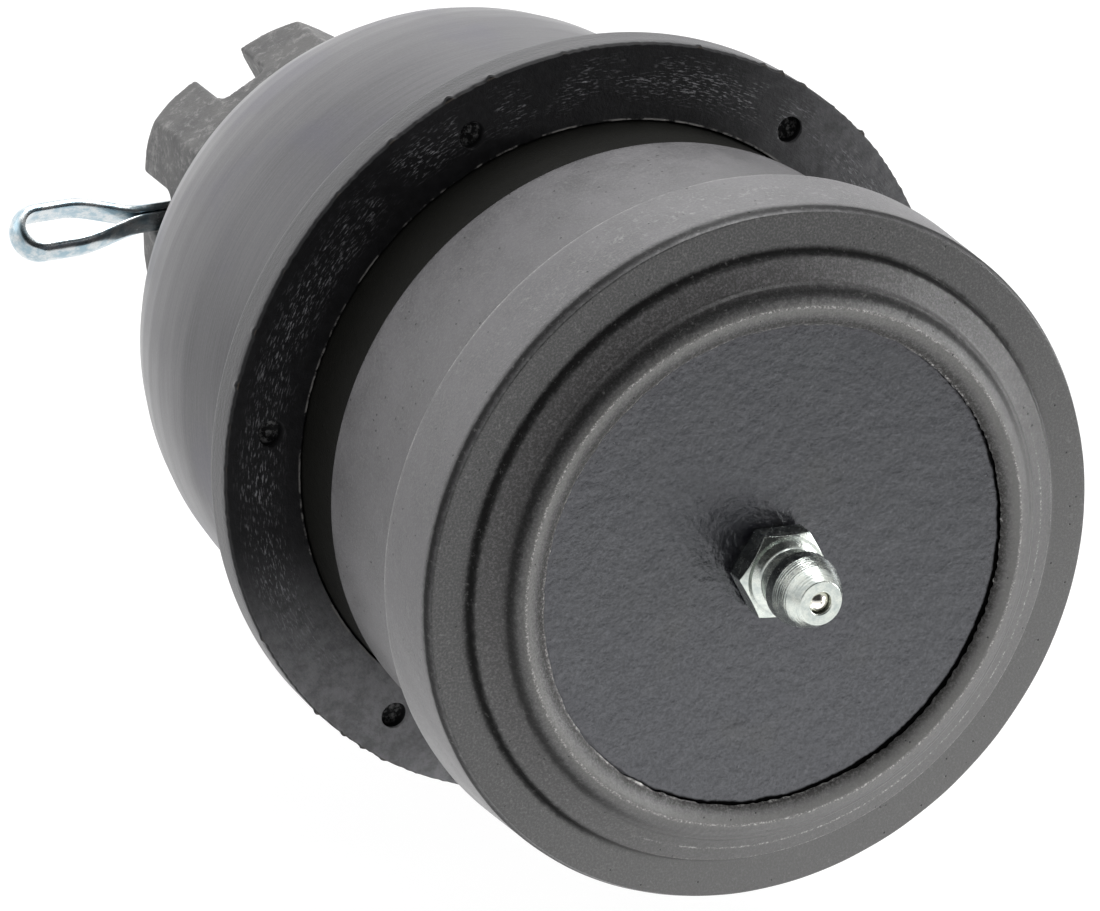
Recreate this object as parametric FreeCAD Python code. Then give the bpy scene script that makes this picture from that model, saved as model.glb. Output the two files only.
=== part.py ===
import FreeCAD, Part
import math
import os

# Press-in ball joint. The origin is the ball's centre and +Y runs along the stud to its thread.
# The cover and grease fitting are at the -Y end. Sizes are in millimetres.

# Forged housing
HEAD_R = 29.75
HEAD_BACK_R = 29.96
RING_Y = -23.8
HEAD_BACK_Y = -15.8
BEVEL_R = 0.3
BEVEL_Y = 0.8
BODY_R = 27.1
BODY_END_Y = 0.6
PILOT_R = 26.45
PILOT_END_Y = 9.9
NECK_R = 24.7
NECK_GROOVE_R = 24.0
HOUSING_END_Y = 15.6
CAVITY_R = 20.6
MOUTH_R = 15.2
MOUTH_RIM_R = 20.6

# Rolled lip of the housing and the cover plate that it holds
PLATE_FACE_Y = -25.4
PLATE_T = 3.0
PLATE_R = 22.3
LIP_INNER_R = 20.5
LIP_FOOT_R = 26.35
CREST_R = 22.26
CREST_Y = -26.3

# Ball stud
BALL_R = 16.0
BALL_FLAT_Y = -15.0
NECK_FILLET = 0.9
STUD_NECK_R = 8.8
TAPER_START_Y = 22.5
TAPER_END_Y = 49.0
TAPER_R = 11.2
TAPER_SLOPE = 1.0 / 16.0
THREAD_R = 8.9
STUD_END_Y = 72.0
STUD_CHAMFER = 1.2
CENTRE_MARK_R = 1.6
PIN_HOLE_R = 2.0
PIN_Y = 68.0
PIN_TURN = 4.6

# Bearings and preload parts round the ball
FIT_GAP = 0.05
BEARING_OPEN_Y = 8.6
BEARING_SPLIT_Y = 0.6
BEARING_CONE_Y = 4.0
BEARING_TOP_R = 17.6
CUP_FLOOR_Y = -17.4
GREASE_HOLE_R = 3.4
PRESSURE_PLATE_T = 1.25
SPRING_T = 1.6

# Grease fitting
FITTING_TIP_Y = -34.1
FITTING_TIP_R = 1.87
FITTING_HEAD_R = 3.05
FITTING_HEAD_Y = (-31.4, -30.3)
FITTING_NECK_R = 2.3
FITTING_HEX_Y = (-28.0, -25.95)
FITTING_HEX_FLATS = 7.0
FITTING_HEX_TURN = 61.5
FITTING_SHANK_R = 3.05
FITTING_SHANK_Y = -20.5
FITTING_MOUTH_R = 0.95
FITTING_BORE_R = 1.32
FITTING_BORE_END_Y = -26.5
FITTING_OUTLET_R = 0.7
CHECK_BALL_R = 1.15
CHECK_BALL_Y = -32.9
CHECK_SPRING_WIRE_R = 0.13
CHECK_SPRING_R = 0.95
CHECK_SPRING_TURNS = 4
CHECK_SPRING_SIDES = 8

# Dust boot with its two stiffening rings
FLANGE_R = 33.2
FLANGE_FACE_Y = 8.1
FLANGE_BACK_Y = 12.2
FLANGE_BORE_R = 26.6
DOME_R = 27.9
DOME_CENTRE_Y = 29.0
DOME_SHOULDER_Y = 45.3
DOME_FOOT_R = 27.3
DOME_FOOT_Y = 14.1
BOOT_WALL = 2.2
BOOT_TOP_R = 15.5
BOOT_TOP_Y = 49.0
DIMPLE_COUNT = 6
DIMPLE_R = 1.15
DIMPLE_CIRCLE_R = 29.4
DIMPLE_TURN = 56.7
BASE_RING_R = (28.0, 32.0)
BASE_RING_Y = (9.2, 10.6)
TOP_RING_COLLAR_R = 10.95
TOP_RING_R = 13.0
TOP_RING_Y = (45.4, 48.8)
TOP_RING_WEB_Y = (46.7, 47.8)
RING_GAP = 0.03
NECK_GAP = 0.1

# Slotted nut and split pin
NUT_FLATS = 27.0
NUT_BOTTOM_Y = 50.0
NUT_TOP_Y = 71.0
NUT_TURN = 2.4
NUT_SLOT = 4.8
NUT_SLOT_FLOOR_Y = 64.8
NUT_SLOT_CORNER = 0.9
NUT_BORE_R = 8.95
PIN_HALF_WIDTH = 1.35
PIN_EDGE_T = 0.6
PIN_CROWN_T = 1.1
PIN_SPLIT = 0.06
PIN_CLOSED_X = -14.5
PIN_EYE_START_X = -21.5
PIN_EYE_X = -24.4
PIN_EYE_R = 1.5
PIN_EYE_SHIFT = 0.25
PIN_DROP = 0.4
PIN_LONG_END_X = 18.6
PIN_SHORT_END_X = 17.0

ORIGIN = FreeCAD.Vector(0, 0, 0)
STUD_AXIS = FreeCAD.Vector(0, 1, 0)


def place(radius, y):
    return FreeCAD.Vector(radius, y, 0)


def outline_edges(outline, put=place):
    """Edges through the points of an outline. A pair of points is an arc by way of the first."""
    edges = []
    here = put(*outline[0])
    for step in outline[1:]:
        if isinstance(step[0], tuple):
            end = put(*step[1])
            edges.append(Part.Arc(here, put(*step[0]), end).toShape())
        else:
            end = put(*step)
            edges.append(Part.LineSegment(here, end).toShape())
        here = end
    return edges


def turned(outline):
    """Solid of revolution about the stud axis from a closed outline of (radius, y) points."""
    edges = outline_edges(outline + [outline[0]])
    face = Part.Face(Part.Wire(edges))
    return face.revolve(ORIGIN, STUD_AXIS, 360)


def disc_hole(radius, y_low, y_high):
    """Round rod on the stud axis, used to cut holes."""
    return Part.makeCylinder(radius, y_high - y_low, FreeCAD.Vector(0, y_low, 0), STUD_AXIS)


def hexagon(flats, y_low, y_high, turn):
    """Hexagonal prism on the stud axis, with one corner at the angle turn from +X to +Z."""
    corner_r = flats / math.sqrt(3)
    corners = []
    for k in range(7):
        angle = math.radians(turn + 60 * k)
        corners.append(FreeCAD.Vector(corner_r * math.cos(angle), y_low, corner_r * math.sin(angle)))
    face = Part.Face(Part.makePolygon(corners))
    return face.extrude(FreeCAD.Vector(0, y_high - y_low, 0))


def on_sphere(radius, y, centre_y=0.0):
    """Radius from the stud axis at height y of a sphere with its centre on that axis."""
    return math.sqrt(radius * radius - (y - centre_y) ** 2)


def taper_radius(y):
    """Radius of the stud's 1 in 8 taper at height y."""
    return TAPER_R - TAPER_SLOPE * (y - TAPER_START_Y)


def housing():
    """Head with its rolled lip, press-fit body, pilot, boot neck and flared mouth."""
    plate_back_y = PLATE_FACE_Y + PLATE_T
    seat_r = BEARING_TOP_R + FIT_GAP
    return turned([
        (LIP_INNER_R, PLATE_FACE_Y),
        ((21.2, -26.05), (CREST_R, CREST_Y)),
        ((23.1, -26.0), (23.7, -25.4)),
        ((24.2, -24.95), (24.9, -24.75)),
        ((25.55, -24.6), (26.05, -24.4)),
        (LIP_FOOT_R, RING_Y),
        (HEAD_R - BEVEL_R, RING_Y),
        (HEAD_R, RING_Y + BEVEL_Y),
        (HEAD_BACK_R, HEAD_BACK_Y - 0.3),
        ((HEAD_BACK_R - 0.09, HEAD_BACK_Y - 0.09), (HEAD_BACK_R - 0.3, HEAD_BACK_Y)),
        (BODY_R + 0.8, HEAD_BACK_Y),
        ((BODY_R + 0.23, HEAD_BACK_Y + 0.23), (BODY_R, HEAD_BACK_Y + 0.8)),
        (BODY_R, BODY_END_Y),
        (PILOT_R, BODY_END_Y + 0.7),
        (PILOT_R, PILOT_END_Y),
        (NECK_R, PILOT_END_Y),
        (NECK_R, PILOT_END_Y + 0.9),
        (NECK_GROOVE_R, PILOT_END_Y + 1.2),
        (NECK_GROOVE_R, PILOT_END_Y + 2.5),
        (NECK_R, PILOT_END_Y + 2.8),
        (NECK_R - 0.3, PILOT_END_Y + 3.6),
        (MOUTH_RIM_R + 1.8, HOUSING_END_Y),
        (MOUTH_RIM_R, HOUSING_END_Y),
        ((17.0, 13.5), (MOUTH_R, 10.6)),
        (MOUTH_R, BEARING_OPEN_Y + FIT_GAP),
        (seat_r, BEARING_OPEN_Y + FIT_GAP),
        (CAVITY_R, BEARING_CONE_Y + FIT_GAP),
        (CAVITY_R, plate_back_y),
        (PLATE_R + 0.05, plate_back_y),
        (PLATE_R + 0.05, PLATE_FACE_Y),
    ])


def cover_plate():
    """Flat steel disc under the rolled lip, with the hole for the grease fitting."""
    back_y = PLATE_FACE_Y + PLATE_T
    disc = turned([
        (0, PLATE_FACE_Y),
        (PLATE_R - 0.4, PLATE_FACE_Y),
        (PLATE_R, PLATE_FACE_Y + 0.4),
        (PLATE_R, back_y),
        (0, back_y),
    ])
    return disc.cut(disc_hole(FITTING_SHANK_R, PLATE_FACE_Y - 1, back_y + 1))


def ball_stud():
    """Ball, neck, 1 in 8 taper and threaded end in one forging, with the split pin's hole."""
    fillet_r = STUD_NECK_R + NECK_FILLET
    neck_y = math.sqrt(BALL_R ** 2 - fillet_r ** 2)
    stud = turned([
        (0, BALL_FLAT_Y),
        (on_sphere(BALL_R, BALL_FLAT_Y), BALL_FLAT_Y),
        ((BALL_R, 0), (fillet_r, neck_y)),
        ((STUD_NECK_R + 0.15, neck_y + 0.95), (STUD_NECK_R, neck_y + 2.4)),
        (STUD_NECK_R, TAPER_START_Y - 4.0),
        ((STUD_NECK_R + 0.5, TAPER_START_Y - 1.9), (TAPER_R, TAPER_START_Y)),
        (taper_radius(TAPER_END_Y), TAPER_END_Y),
        (THREAD_R, TAPER_END_Y + 0.9),
        (THREAD_R, STUD_END_Y - STUD_CHAMFER),
        (THREAD_R - STUD_CHAMFER, STUD_END_Y),
        (CENTRE_MARK_R, STUD_END_Y),
        (0, STUD_END_Y - CENTRE_MARK_R),
    ])
    reach = 2 * THREAD_R
    hole = Part.makeCylinder(
        PIN_HOLE_R, 2 * reach, FreeCAD.Vector(-reach, PIN_Y, 0), FreeCAD.Vector(1, 0, 0)
    )
    hole.rotate(ORIGIN, STUD_AXIS, -PIN_TURN)
    return stud.cut(hole)


def upper_bearing():
    """Bearing ring on the stud's side of the ball, seated in the housing's cone."""
    bore = BALL_R + FIT_GAP
    outer_r = CAVITY_R - FIT_GAP
    middle_y = (BEARING_SPLIT_Y + BEARING_OPEN_Y) / 2
    return turned([
        (outer_r, BEARING_SPLIT_Y),
        (outer_r, BEARING_CONE_Y),
        (BEARING_TOP_R, BEARING_OPEN_Y),
        (on_sphere(bore, BEARING_OPEN_Y), BEARING_OPEN_Y),
        ((on_sphere(bore, middle_y), middle_y), (on_sphere(bore, BEARING_SPLIT_Y), BEARING_SPLIT_Y)),
    ])


def lower_bearing():
    """Bearing cup on the cover's side of the ball, with a grease hole in its floor."""
    bore = BALL_R + FIT_GAP
    outer_r = CAVITY_R - 2 * FIT_GAP
    rim_y = -BEARING_SPLIT_Y
    floor_y = -on_sphere(bore, GREASE_HOLE_R)
    middle_y = -8.0
    return turned([
        (GREASE_HOLE_R, CUP_FLOOR_Y),
        (GREASE_HOLE_R, floor_y),
        ((on_sphere(bore, middle_y), middle_y), (on_sphere(bore, rim_y), rim_y)),
        (outer_r, rim_y),
        (outer_r, CUP_FLOOR_Y + 2.4),
        (outer_r - 2.4, CUP_FLOOR_Y),
    ])


def pressure_plate():
    """Steel washer between the preload spring and the bearing cup."""
    front_y = CUP_FLOOR_Y - PRESSURE_PLATE_T
    outer_r = CAVITY_R - 2 * FIT_GAP
    return turned([
        (GREASE_HOLE_R, front_y),
        (outer_r - 0.5, front_y),
        (outer_r, front_y + 0.5),
        (outer_r, CUP_FLOOR_Y),
        (GREASE_HOLE_R, CUP_FLOOR_Y),
    ])


def preload_spring():
    """Coned disc spring that presses the bearing cup on the ball."""
    cover_y = PLATE_FACE_Y + PLATE_T
    washer_y = CUP_FLOOR_Y - PRESSURE_PLATE_T
    outer_r = CAVITY_R - 0.5
    inner_r = 8.2
    return turned([
        (inner_r, washer_y - SPRING_T),
        (inner_r, washer_y),
        (inner_r + 0.3, washer_y),
        (outer_r, cover_y + SPRING_T),
        (outer_r, cover_y),
        (outer_r - 0.3, cover_y),
    ])


def grease_fitting_body():
    """Hexagon, grip head and shank in one turning, bored for the check ball and its spring."""
    band_low_y, band_high_y = FITTING_HEAD_Y
    hex_low_y, hex_high_y = FITTING_HEX_Y
    inside_flats_r = FITTING_HEX_FLATS / 2 - 0.25
    corner_r = FITTING_HEX_FLATS / math.sqrt(3) + 0.1
    core = turned([
        (0, FITTING_TIP_Y),
        (FITTING_TIP_R, FITTING_TIP_Y),
        ((2.6, -32.85), (FITTING_HEAD_R, band_low_y)),
        (FITTING_HEAD_R, band_high_y),
        (FITTING_NECK_R, band_high_y + 0.6),
        (FITTING_NECK_R, hex_low_y - 1.2),
        ((2.5, hex_low_y - 0.4), (inside_flats_r, hex_low_y)),
        (inside_flats_r, hex_high_y),
        (FITTING_SHANK_R, hex_high_y),
        (FITTING_SHANK_R, FITTING_SHANK_Y - 0.5),
        (FITTING_SHANK_R - 0.5, FITTING_SHANK_Y),
        (0, FITTING_SHANK_Y),
    ])
    hexagon_body = hexagon(FITTING_HEX_FLATS, hex_low_y, hex_high_y, FITTING_HEX_TURN)
    crown = turned([
        (0, hex_low_y),
        (FITTING_HEX_FLATS / 2 - 0.1, hex_low_y),
        (corner_r, hex_low_y + 0.4),
        (corner_r, hex_high_y),
        (0, hex_high_y),
    ])
    passage = turned([
        (0, FITTING_TIP_Y - 1),
        (FITTING_MOUTH_R, FITTING_TIP_Y - 1),
        (FITTING_MOUTH_R, CHECK_BALL_Y - 0.7),
        (FITTING_BORE_R, CHECK_BALL_Y),
        (FITTING_BORE_R, FITTING_BORE_END_Y),
        (FITTING_OUTLET_R, FITTING_BORE_END_Y),
        (FITTING_OUTLET_R, FITTING_SHANK_Y + 1),
        (0, FITTING_SHANK_Y + 1),
    ])
    return core.fuse(hexagon_body.common(crown)).cut(passage).removeSplitter()


def grease_fitting_ball():
    """Check ball behind the fitting's mouth."""
    return Part.makeSphere(CHECK_BALL_R, FreeCAD.Vector(0, CHECK_BALL_Y, 0), STUD_AXIS)


def grease_fitting_spring():
    """Coil spring that holds the check ball to its seat. Its thin wire has eight flat sides."""
    seat_y = math.sqrt((CHECK_BALL_R + CHECK_SPRING_WIRE_R) ** 2 - CHECK_SPRING_R ** 2)
    start_y = CHECK_BALL_Y + seat_y + RING_GAP
    end_y = FITTING_BORE_END_Y - CHECK_SPRING_WIRE_R
    length = end_y - start_y
    helix = Part.makeHelix(length / CHECK_SPRING_TURNS, length, CHECK_SPRING_R)
    corners = []
    for k in range(CHECK_SPRING_SIDES + 1):
        angle = 2 * math.pi * k / CHECK_SPRING_SIDES
        corners.append(place(CHECK_SPRING_R, 0) + FreeCAD.Vector(
            CHECK_SPRING_WIRE_R * math.cos(angle), 0, CHECK_SPRING_WIRE_R * math.sin(angle)
        ))
    section = Part.makePolygon(corners)
    coil = Part.Wire(helix.Edges).makePipeShell([section], True, True)
    coil.rotate(ORIGIN, FreeCAD.Vector(1, 0, 0), -90)
    coil.translate(FreeCAD.Vector(0, start_y, 0))
    return coil


def boot_base_ring():
    """Flat steel ring moulded into the boot's flange."""
    inner_r, outer_r = BASE_RING_R
    low_y, high_y = BASE_RING_Y
    return turned([(inner_r, low_y), (outer_r, low_y), (outer_r, high_y), (inner_r, high_y)])


def top_ring_outline(gap):
    """Outline of the collar in the boot's top lip, grown by a gap on the sides in the rubber."""
    low_y, high_y = TOP_RING_Y
    web_low_y, web_high_y = TOP_RING_WEB_Y
    return [
        (taper_radius(low_y) + FIT_GAP - gap, low_y),
        (TOP_RING_COLLAR_R + gap, low_y),
        (TOP_RING_COLLAR_R + gap, web_low_y - gap),
        (TOP_RING_R + gap, web_low_y - gap),
        (TOP_RING_R + gap, web_high_y + gap),
        (TOP_RING_COLLAR_R + gap, web_high_y + gap),
        (TOP_RING_COLLAR_R + gap, high_y),
        (taper_radius(high_y) + FIT_GAP - gap, high_y),
    ]


def boot_top_ring():
    """Steel collar in the boot's top lip, turning on the stud's taper."""
    return turned(top_ring_outline(0))


def dust_boot():
    """Moulded rubber boot: flange on the housing, dome, and a lip round the stud."""
    shoulder_r = on_sphere(DOME_R, DOME_SHOULDER_Y, DOME_CENTRE_Y)
    middle_y = (DOME_SHOULDER_Y + DOME_CENTRE_Y) / 2 + 2
    inner_r = DOME_R - BOOT_WALL
    inner_shoulder_y = DOME_SHOULDER_Y - 1.5
    inner_shoulder_r = on_sphere(inner_r, inner_shoulder_y, DOME_CENTRE_Y)
    collar_r = TOP_RING_COLLAR_R + RING_GAP
    lip_y = TOP_RING_Y[0] - 0.2
    body = turned([
        (FLANGE_BORE_R, FLANGE_FACE_Y - 0.4),
        (FLANGE_R - 0.25, FLANGE_FACE_Y),
        (FLANGE_R, FLANGE_FACE_Y + 0.25),
        (FLANGE_R, FLANGE_BACK_Y - 0.6),
        ((FLANGE_R - 0.18, FLANGE_BACK_Y - 0.18), (FLANGE_R - 0.6, FLANGE_BACK_Y)),
        (DOME_FOOT_R + 1.15, FLANGE_BACK_Y + 0.3),
        ((DOME_FOOT_R + 0.15, FLANGE_BACK_Y + 0.75), (DOME_FOOT_R, DOME_FOOT_Y)),
        ((DOME_R - 0.25, DOME_CENTRE_Y - 8.5), (DOME_R, DOME_CENTRE_Y)),
        ((on_sphere(DOME_R, middle_y, DOME_CENTRE_Y), middle_y), (shoulder_r, DOME_SHOULDER_Y)),
        ((20.1, 47.4), (BOOT_TOP_R + 1, BOOT_TOP_Y - 0.3)),
        (BOOT_TOP_R, BOOT_TOP_Y),
        (collar_r, BOOT_TOP_Y),
        (collar_r, lip_y),
        (14.6, lip_y),
        ((18.3, 44.8), (inner_shoulder_r, inner_shoulder_y)),
        ((on_sphere(inner_r, middle_y, DOME_CENTRE_Y), middle_y), (inner_r, DOME_CENTRE_Y)),
        ((inner_r - 0.2, DOME_CENTRE_Y - 8.0), (DOME_FOOT_R - 2.0, DOME_FOOT_Y + 0.5)),
        (NECK_R + NECK_GAP, PILOT_END_Y + 2.7),
        (NECK_GROOVE_R + NECK_GAP, PILOT_END_Y + 2.4),
        (NECK_GROOVE_R + NECK_GAP, PILOT_END_Y + 1.3),
        (NECK_R + NECK_GAP, PILOT_END_Y + 1.0),
        (NECK_R + NECK_GAP, PILOT_END_Y + NECK_GAP),
        (FLANGE_BORE_R, PILOT_END_Y + NECK_GAP),
    ])
    ring_inner_r, ring_outer_r = BASE_RING_R
    low_y, high_y = BASE_RING_Y
    pocket = turned([
        (ring_inner_r - RING_GAP, low_y - RING_GAP),
        (ring_outer_r + RING_GAP, low_y - RING_GAP),
        (ring_outer_r + RING_GAP, high_y + RING_GAP),
        (ring_inner_r - RING_GAP, high_y + RING_GAP),
    ])
    body = body.cut(pocket).cut(turned(top_ring_outline(RING_GAP)))
    for k in range(DIMPLE_COUNT):
        angle = math.radians(DIMPLE_TURN + 360 / DIMPLE_COUNT * k)
        centre = FreeCAD.Vector(
            DIMPLE_CIRCLE_R * math.cos(angle), FLANGE_FACE_Y - 1, DIMPLE_CIRCLE_R * math.sin(angle)
        )
        body = body.cut(Part.makeCylinder(DIMPLE_R, low_y + 1 - FLANGE_FACE_Y, centre, STUD_AXIS))
    return body


def castle_nut():
    """Hexagon nut with six slots in its free end, chamfered at both ends."""
    corner_r = NUT_FLATS / math.sqrt(3) + 0.1
    flat_r = NUT_FLATS / 2
    crown = turned([
        (0, NUT_BOTTOM_Y),
        (flat_r - 0.4, NUT_BOTTOM_Y),
        (corner_r, NUT_BOTTOM_Y + 1.4),
        (corner_r, NUT_TOP_Y - 2.4),
        ((flat_r + 0.95, NUT_TOP_Y - 0.8), (flat_r - 0.7, NUT_TOP_Y)),
        (0, NUT_TOP_Y),
    ])
    nut = hexagon(NUT_FLATS, NUT_BOTTOM_Y, NUT_TOP_Y, NUT_TURN + 30).common(crown)
    nut = nut.cut(disc_hole(NUT_BORE_R, NUT_BOTTOM_Y - 1, NUT_TOP_Y + 1))
    lead = turned([
        (NUT_BORE_R - 1, NUT_BOTTOM_Y - 0.1),
        (NUT_BORE_R + 0.9, NUT_BOTTOM_Y - 0.1),
        (NUT_BORE_R - 1, NUT_BOTTOM_Y + 1.8),
    ])
    nut = nut.cut(lead)
    for k in range(3):
        nut = nut.cut(nut_slot(NUT_TURN + 60 * k))
    return nut


def nut_slot(angle):
    """One cut across the nut, with rounded corners at its floor."""
    reach = NUT_FLATS
    corner = FreeCAD.Vector(-reach, NUT_SLOT_FLOOR_Y, -NUT_SLOT / 2)
    slot = Part.makeBox(2 * reach, NUT_TOP_Y - NUT_SLOT_FLOOR_Y + 1, NUT_SLOT, corner)
    floor_edges = []
    for edge in slot.Edges:
        box = edge.BoundBox
        if box.XLength > reach and box.YMax < NUT_SLOT_FLOOR_Y + 0.1:
            floor_edges.append(edge)
    slot = slot.makeFillet(NUT_SLOT_CORNER, floor_edges)
    slot.rotate(ORIGIN, STUD_AXIS, -angle)
    return slot


def leg_bend(opening):
    """Two equal arcs from a closed leg at PIN_CLOSED_X out to the eye's side, as outline steps."""
    start = math.copysign(PIN_SPLIT, opening)
    run = PIN_EYE_START_X - PIN_CLOSED_X
    rise = opening - start
    bend_r = (run * run + rise * rise) / (4 * rise)
    sag = bend_r - math.copysign(math.sqrt(bend_r * bend_r - run * run / 16), rise)
    middle = (PIN_CLOSED_X + run / 2, start + rise / 2)
    return [
        ((PIN_CLOSED_X + run / 4, start + sag), middle),
        ((PIN_CLOSED_X + run * 3 / 4, opening - sag), (PIN_EYE_START_X, opening)),
    ]


def reversed_steps(steps, start):
    """The same arcs walked backwards, ending at the given start point."""
    ends = [start]
    for step in steps:
        ends.append(step[1])
    backwards = []
    for k in range(len(steps) - 1, -1, -1):
        backwards.append((steps[k][0], ends[k]))
    return backwards


def cotter_pin():
    """Half-round wire folded into two legs and a teardrop eye, lying along X through the stud."""
    top = PIN_EYE_SHIFT + PIN_EYE_R
    bottom = PIN_EYE_SHIFT - PIN_EYE_R

    def put(x, opening):
        return FreeCAD.Vector(x, opening, 0)

    path = [(PIN_LONG_END_X, PIN_SPLIT), (PIN_CLOSED_X, PIN_SPLIT)]
    path += leg_bend(top)
    path += [
        (PIN_EYE_X, top),
        ((PIN_EYE_X - PIN_EYE_R, PIN_EYE_SHIFT), (PIN_EYE_X, bottom)),
        (PIN_EYE_START_X, bottom),
    ]
    path += reversed_steps(leg_bend(bottom), (PIN_CLOSED_X, -PIN_SPLIT))
    path.append((PIN_SHORT_END_X, -PIN_SPLIT))
    start = put(PIN_LONG_END_X, PIN_SPLIT)
    inner_left = start + FreeCAD.Vector(0, 0, -PIN_HALF_WIDTH)
    inner_right = start + FreeCAD.Vector(0, 0, PIN_HALF_WIDTH)
    outer_left = inner_left + FreeCAD.Vector(0, PIN_EDGE_T, 0)
    outer_right = inner_right + FreeCAD.Vector(0, PIN_EDGE_T, 0)
    crown = start + FreeCAD.Vector(0, PIN_CROWN_T, 0)
    section = Part.Wire([
        Part.LineSegment(inner_left, outer_left).toShape(),
        Part.Arc(outer_left, crown, outer_right).toShape(),
        Part.LineSegment(outer_right, inner_right).toShape(),
        Part.LineSegment(inner_right, inner_left).toShape(),
    ])
    sweep = Part.BRepOffsetAPI.MakePipeShell(Part.Wire(outline_edges(path, put)))
    sweep.setBiNormalMode(FreeCAD.Vector(0, 0, 1))
    sweep.add(section)
    sweep.build()
    sweep.makeSolid()
    pin = sweep.shape()
    pin.rotate(ORIGIN, FreeCAD.Vector(1, 0, 0), 45)
    pin.rotate(ORIGIN, STUD_AXIS, -PIN_TURN)
    pin.translate(FreeCAD.Vector(0, PIN_Y, -PIN_DROP))
    return pin


NODES = {
    "housing": housing,
    "cover_plate": cover_plate,
    "preload_spring": preload_spring,
    "pressure_plate": pressure_plate,
    "lower_bearing": lower_bearing,
    "upper_bearing": upper_bearing,
    "ball_stud": ball_stud,
    "grease_fitting_body": grease_fitting_body,
    "grease_fitting_ball": grease_fitting_ball,
    "grease_fitting_spring": grease_fitting_spring,
    "dust_boot": dust_boot,
    "boot_base_ring": boot_base_ring,
    "boot_top_ring": boot_top_ring,
    "castle_nut": castle_nut,
    "cotter_pin": cotter_pin,
}

os.makedirs("parts", exist_ok=True)
for node, make in NODES.items():
    shape = make()
    print(node, "valid", shape.isValid(), "solids", len(shape.Solids), "mm3", round(shape.Volume, 1))
    shape.exportStep("parts/" + node + ".step")
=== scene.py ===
import math

import bmesh
import bpy
import numpy as np
from mathutils import Matrix, Vector


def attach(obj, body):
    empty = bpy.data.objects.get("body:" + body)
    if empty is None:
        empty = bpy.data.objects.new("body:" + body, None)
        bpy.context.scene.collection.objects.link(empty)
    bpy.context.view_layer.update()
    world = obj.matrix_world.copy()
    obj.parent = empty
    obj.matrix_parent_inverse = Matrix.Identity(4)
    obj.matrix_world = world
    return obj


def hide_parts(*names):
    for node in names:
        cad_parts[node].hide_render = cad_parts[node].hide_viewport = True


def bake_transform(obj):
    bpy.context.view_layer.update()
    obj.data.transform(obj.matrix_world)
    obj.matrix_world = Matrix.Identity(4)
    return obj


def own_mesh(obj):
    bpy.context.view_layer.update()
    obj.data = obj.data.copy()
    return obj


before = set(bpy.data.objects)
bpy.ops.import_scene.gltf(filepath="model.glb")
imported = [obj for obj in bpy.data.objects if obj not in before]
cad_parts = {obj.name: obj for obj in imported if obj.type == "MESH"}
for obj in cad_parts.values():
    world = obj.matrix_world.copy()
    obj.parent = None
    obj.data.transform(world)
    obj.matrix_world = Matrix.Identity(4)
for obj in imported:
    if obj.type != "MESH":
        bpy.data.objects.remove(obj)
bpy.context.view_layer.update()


# Housing: one steel forging, turned all over and blacked, now worn to a satin grey.
# Its thin front lip is rolled in over the cover plate, which leaves a crest, a wrinkled flank
# and a torn inner edge. The seat behind the press-fit body carries the boot; its near-black colour
# is painted shade from the boot's flange.
MM = 0.001


def rounded(corners, step):
    """Closed outline through (radius, y, rounding) corners, with a point at least every step."""
    count = len(corners)
    points = []
    for k in range(count):
        before = np.array(corners[k - 1][:2], float)
        corner = np.array(corners[k][:2], float)
        after = np.array(corners[(k + 1) % count][:2], float)
        rounding = corners[k][2]
        back = before - corner
        ahead = after - corner
        reach = 0.48 * min(np.hypot(*back), np.hypot(*ahead))
        back /= np.hypot(*back)
        ahead /= np.hypot(*ahead)
        half = math.acos(max(-1.0, min(1.0, float(back @ ahead)))) / 2
        if rounding <= 0 or half > 1.55:
            points.append(corner)
        else:
            along = min(rounding / math.tan(half), reach)
            radius = along * math.tan(half)
            middle = back + ahead
            centre = corner + middle / np.hypot(*middle) * (radius / math.sin(half))
            first = corner + back * along - centre
            last = corner + ahead * along - centre
            turn = math.atan2(first[0] * last[1] - first[1] * last[0], float(first @ last))
            bends = max(2, math.ceil(abs(turn) / 0.3))
            for i in range(bends + 1):
                a = turn * i / bends
                spin = np.array([[math.cos(a), -math.sin(a)], [math.sin(a), math.cos(a)]])
                points.append(centre + spin @ first)
    outline = []
    for k in range(len(points)):
        here = points[k]
        there = points[(k + 1) % len(points)]
        parts = max(1, math.ceil(np.hypot(*(there - here)) / step))
        for i in range(parts):
            outline.append(here + (there - here) * i / parts)
    return np.array(outline)


def shown(name, verts, faces):
    """Smooth mesh object from points in mm, with its rest position kept for the finishes."""
    mesh = bpy.data.meshes.new(name)
    mesh.from_pydata((np.asarray(verts) * MM).tolist(), [], faces)
    return dressed(bpy.data.objects.new(name, mesh))


def dressed(piece):
    """Merges doubled points, turns the faces outwards and stores each point's rest position."""
    mesh = piece.data
    if piece.name not in bpy.context.scene.collection.objects:
        bpy.context.scene.collection.objects.link(piece)
    work = bmesh.new()
    work.from_mesh(mesh)
    bmesh.ops.remove_doubles(work, verts=work.verts, dist=1e-7)
    bmesh.ops.recalc_face_normals(work, faces=work.faces)
    for face in work.faces:
        face.smooth = True
    work.to_mesh(mesh)
    work.free()
    places = np.zeros(len(mesh.vertices) * 3, np.float32)
    mesh.vertices.foreach_get("co", places)
    rest = mesh.attributes.get("rest_mm") or mesh.attributes.new("rest_mm", "FLOAT_VECTOR", "POINT")
    rest.data.foreach_set("vector", places / MM)
    return piece


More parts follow.
